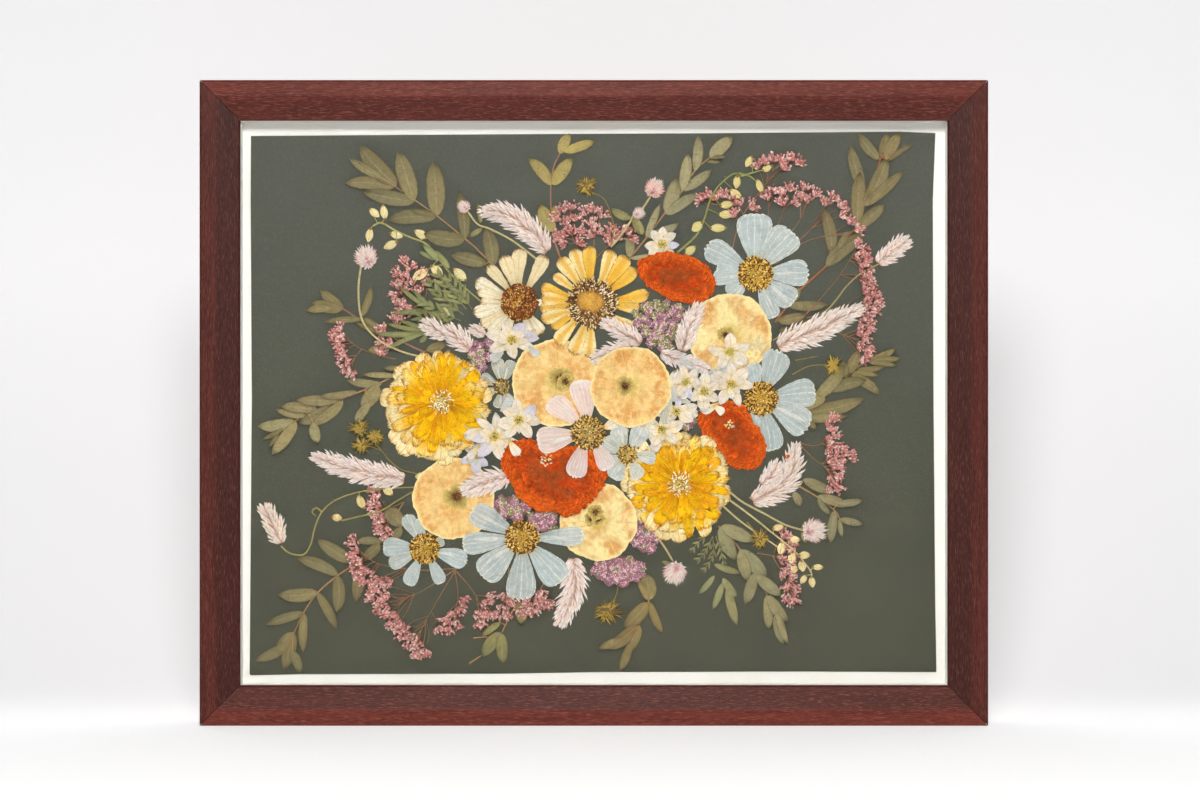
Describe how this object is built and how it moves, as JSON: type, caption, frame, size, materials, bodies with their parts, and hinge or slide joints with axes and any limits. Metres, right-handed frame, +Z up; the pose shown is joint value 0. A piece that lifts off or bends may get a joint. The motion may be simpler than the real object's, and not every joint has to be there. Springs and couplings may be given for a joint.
{
  "type": "pressed flower frame",
  "caption": "Deep mitred wooden frame with pressed flowers, leaf sprigs, plumes and seed stems laid flat on a dark green sheet over a white board, behind clear glazing.",
  "frame": {"origin": "bottom centre of the frame, on the surface it stands on", "axes": "+Z up, +X to the right seen from the front; the glazed front faces -Y"},
  "size_m": [0.552, 0.0414, 0.452],
  "materials": {
    "wood": "satin reddish-brown stain",
    "glazing": "clear",
    "white_board": "matt white",
    "green_sheet": "matt, finely textured",
    "foam_board": "matt",
    "kraft_paper": "matt brown",
    "steel": "bright zinc",
    "rubber": "matt",
    "dry_leaf": "matt, dried",
    "pale_bloom": "matt, dried",
    "white_petal": "thin, papery",
    "peach_petal": "thin, papery",
    "orange_petal": "matt, dried",
    "cream_petal": "matt, dried",
    "yellow_petal": "matt, dried",
    "mauve_floret": "matt, dried",
    "rose_bud": "papery, dried",
    "seed_pod": "papery, dried"
  },
  "bodies": {
    "root": {"rail_top": "wood", "rail_bottom": "wood", "rail_right": "wood", "rail_left": "wood", "glazing": "glazing", "spacer_top": "white_board", "spacer_bottom": "white_board", "spacer_right": "white_board", "spacer_left": "white_board", "mount_board": "white_board", "flower_panel": "green_sheet", "backing_board": "foam_board", "dust_cover": "kraft_paper", "sawtooth_hanger": "steel", "hanger_nail_left": "steel", "hanger_nail_right": "steel", "bumper_left": "rubber", "bumper_right": "rubber", "sprig_top_left": "dry_leaf", "sprig_top": "dry_leaf", "sprig_top_centre": "dry_leaf", "sprig_top_right": "dry_leaf", "sprig_left_upper": "dry_leaf", "sprig_left": "dry_leaf", "sprig_low_left": "dry_leaf", "sprig_low": "dry_leaf", "sprig_low_centre": "dry_leaf", "sprig_low_right": "dry_leaf", "sprig_right_low": "dry_leaf", "sprig_right": "dry_leaf", "plume_top": "pale_bloom", "plume_right": "pale_bloom", "plume_left": "pale_bloom", "plume_far_left": "pale_bloom", "plume_low": "pale_bloom", "plume_low_right": "pale_bloom", "plume_far_right": "pale_bloom", "plume_centre": "pale_bloom", "cosmos_top_right": "white_petal", "cosmos_right": "white_petal", "cosmos_blush": "white_petal", "cosmos_small": "white_petal", "cosmos_centre": "white_petal", "cosmos_low_left": "white_petal", "cosmos_low": "white_petal", "poppy_low_left": "peach_petal", "poppy_right": "peach_petal", "poppy_left": "peach_petal", "poppy_low_right": "peach_petal", "poppy_centre": "peach_petal", "marigold_top": "orange_petal", "marigold_right": "orange_petal", "marigold_middle": "orange_petal", "zinnia_cream": "cream_petal", "zinnia_ochre": "yellow_petal", "zinnia_yellow_left": "yellow_petal", "zinnia_yellow_right": "yellow_petal", "yarrow_top": "mauve_floret", "yarrow_low": "mauve_floret", "yarrow_low_right": "mauve_floret"}
  },
  "joints": []
}
